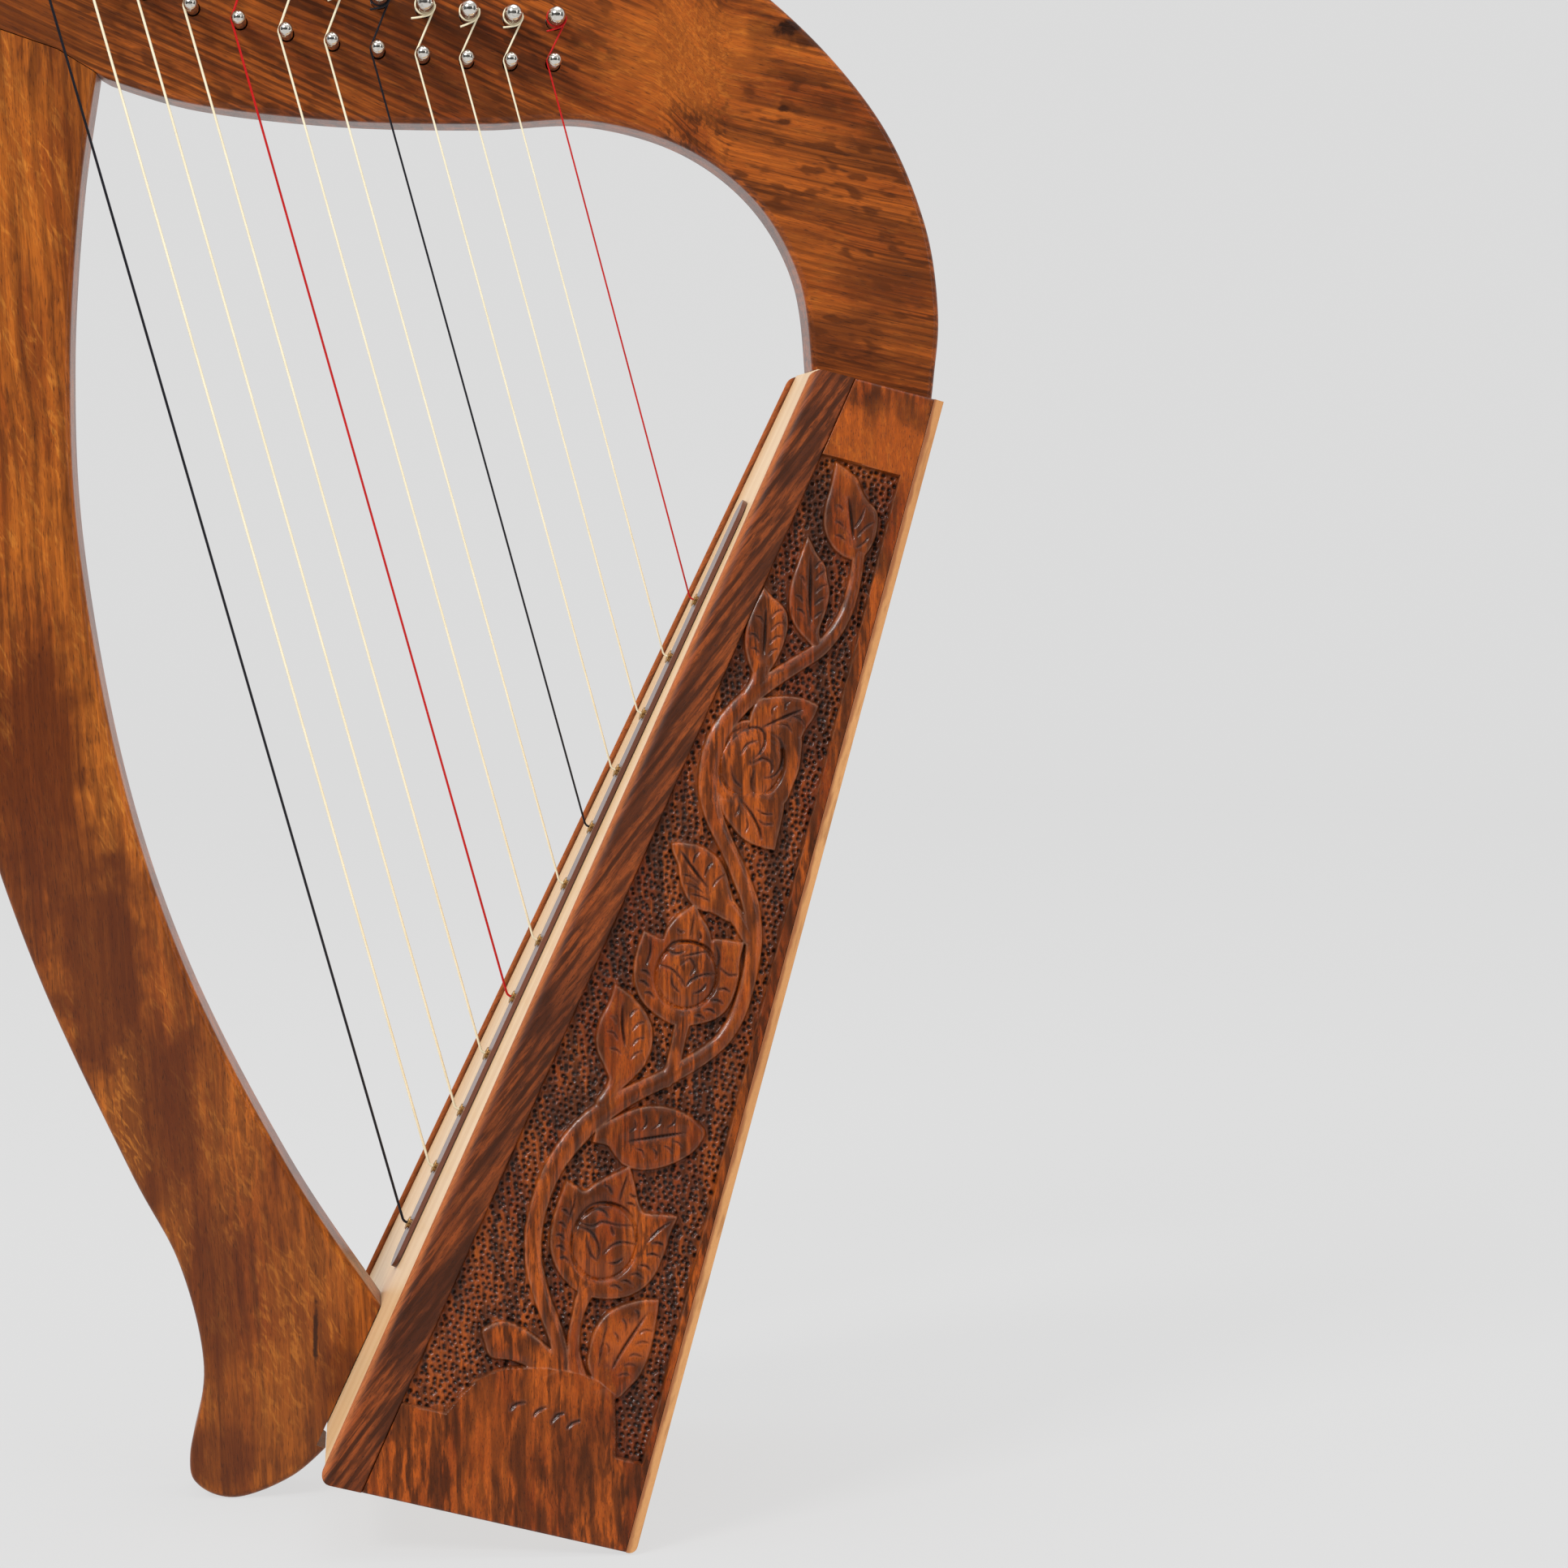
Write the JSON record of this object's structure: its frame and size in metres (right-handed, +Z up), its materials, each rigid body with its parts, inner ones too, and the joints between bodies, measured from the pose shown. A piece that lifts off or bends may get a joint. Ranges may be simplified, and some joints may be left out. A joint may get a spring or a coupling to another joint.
{
  "type": "lap harp",
  "caption": "Small Celtic lap harp: curved neck and pillar on a tapered wooden soundbox with carved vine panels, nylon strings, bridge pins and turning metal tuning pins.",
  "frame": {"origin": "on the table under the middle of the harp's box, with the pillar's foot and the soundbox's lower back edge standing on it", "axes": "+Z up; +X from the pillar to the back of the soundbox; the strings run on the -Y face of the neck, which is the player's left"},
  "size_m": [0.3235, 0.1786, 0.5464],
  "materials": {
    "rosewood": "glossy lacquered rosewood with dark streaks",
    "rail_rosewood": "glossy lacquered rosewood, diagonal grain",
    "soundboard_spruce": "pale satin tonewood",
    "back_wood": "light satin plywood",
    "inner_wood": "plain unfinished wood",
    "dark_wood": "dark satin hardwood strip",
    "brass": "small dull brass grommet",
    "nickel": "polished nickel plate",
    "string_white": "cream nylon",
    "string_red": "red nylon",
    "string_black": "black nylon"
  },
  "bodies": {
    "harp": {"neck": "rosewood", "pillar": "rosewood", "left_side_panel": "rosewood", "right_side_panel": "rosewood", "left_front_rail": "rail_rosewood", "right_front_rail": "rail_rosewood", "soundboard": "soundboard_spruce", "string_rib": "dark_wood", "inner_string_rib": "inner_wood", "back_panel": "back_wood", "top_block": "rosewood", "bottom_block": "inner_wood", "eyelet_01": "brass", "eyelet_02": "brass", "eyelet_03": "brass", "eyelet_04": "brass", "eyelet_05": "brass", "eyelet_06": "brass", "eyelet_07": "brass", "eyelet_08": "brass", "eyelet_09": "brass", "eyelet_10": "brass", "eyelet_11": "brass", "eyelet_12": "brass", "bridge_pin_01": "nickel", "bridge_pin_02": "nickel", "bridge_pin_03": "nickel", "bridge_pin_04": "nickel", "bridge_pin_05": "nickel", "bridge_pin_06": "nickel", "bridge_pin_07": "nickel", "bridge_pin_08": "nickel", "bridge_pin_09": "nickel", "bridge_pin_10": "nickel", "bridge_pin_11": "nickel", "bridge_pin_12": "nickel", "string_01": "string_black", "string_02": "string_white", "string_03": "string_white", "string_04": "string_white", "string_05": "string_red", "string_06": "string_white", "string_07": "string_white", "string_08": "string_black", "string_09": "string_white", "string_10": "string_white", "string_11": "string_white", "string_12": "string_red"},
    "tuning_pin_01": {"tuning_pin_01": "nickel"},
    "tuning_pin_02": {"tuning_pin_02": "nickel"},
    "tuning_pin_03": {"tuning_pin_03": "nickel"},
    "tuning_pin_04": {"tuning_pin_04": "nickel"},
    "tuning_pin_05": {"tuning_pin_05": "nickel"},
    "tuning_pin_06": {"tuning_pin_06": "nickel"},
    "tuning_pin_07": {"tuning_pin_07": "nickel"},
    "tuning_pin_08": {"tuning_pin_08": "nickel"},
    "tuning_pin_09": {"tuning_pin_09": "nickel"},
    "tuning_pin_10": {"tuning_pin_10": "nickel"},
    "tuning_pin_11": {"tuning_pin_11": "nickel"},
    "tuning_pin_12": {"tuning_pin_12": "nickel"}
  },
  "joints": [
    {"name": "tuning_pin_01_turn", "type": "hinge", "parent": "harp", "child": "tuning_pin_01", "pos_m": [-0.1162, 0, 0.50889], "axis": [0, 1, 0], "continuous": true},
    {"name": "tuning_pin_02_turn", "type": "hinge", "parent": "harp", "child": "tuning_pin_02", "pos_m": [-0.10111, 0, 0.50104], "axis": [0, 1, 0], "continuous": true},
    {"name": "tuning_pin_03_turn", "type": "hinge", "parent": "harp", "child": "tuning_pin_03", "pos_m": [-0.08623, 0, 0.49408], "axis": [0, 1, 0], "continuous": true},
    {"name": "tuning_pin_04_turn", "type": "hinge", "parent": "harp", "child": "tuning_pin_04", "pos_m": [-0.07154, 0, 0.48796], "axis": [0, 1, 0], "continuous": true},
    {"name": "tuning_pin_05_turn", "type": "hinge", "parent": "harp", "child": "tuning_pin_05", "pos_m": [-0.05704, 0, 0.48266], "axis": [0, 1, 0], "continuous": true},
    {"name": "tuning_pin_06_turn", "type": "hinge", "parent": "harp", "child": "tuning_pin_06", "pos_m": [-0.04273, 0, 0.47814], "axis": [0, 1, 0], "continuous": true},
    {"name": "tuning_pin_07_turn", "type": "hinge", "parent": "harp", "child": "tuning_pin_07", "pos_m": [-0.02858, 0, 0.47438], "axis": [0, 1, 0], "continuous": true},
    {"name": "tuning_pin_08_turn", "type": "hinge", "parent": "harp", "child": "tuning_pin_08", "pos_m": [-0.0146, 0, 0.47134], "axis": [0, 1, 0], "continuous": true},
    {"name": "tuning_pin_09_turn", "type": "hinge", "parent": "harp", "child": "tuning_pin_09", "pos_m": [-0.00079, 0, 0.46901], "axis": [0, 1, 0], "continuous": true},
    {"name": "tuning_pin_10_turn", "type": "hinge", "parent": "harp", "child": "tuning_pin_10", "pos_m": [0.01287, 0, 0.46736], "axis": [0, 1, 0], "continuous": true},
    {"name": "tuning_pin_11_turn", "type": "hinge", "parent": "harp", "child": "tuning_pin_11", "pos_m": [0.02638, 0, 0.46636], "axis": [0, 1, 0], "continuous": true},
    {"name": "tuning_pin_12_turn", "type": "hinge", "parent": "harp", "child": "tuning_pin_12", "pos_m": [0.03974, 0, 0.466], "axis": [0, 1, 0], "continuous": true}
  ]
}
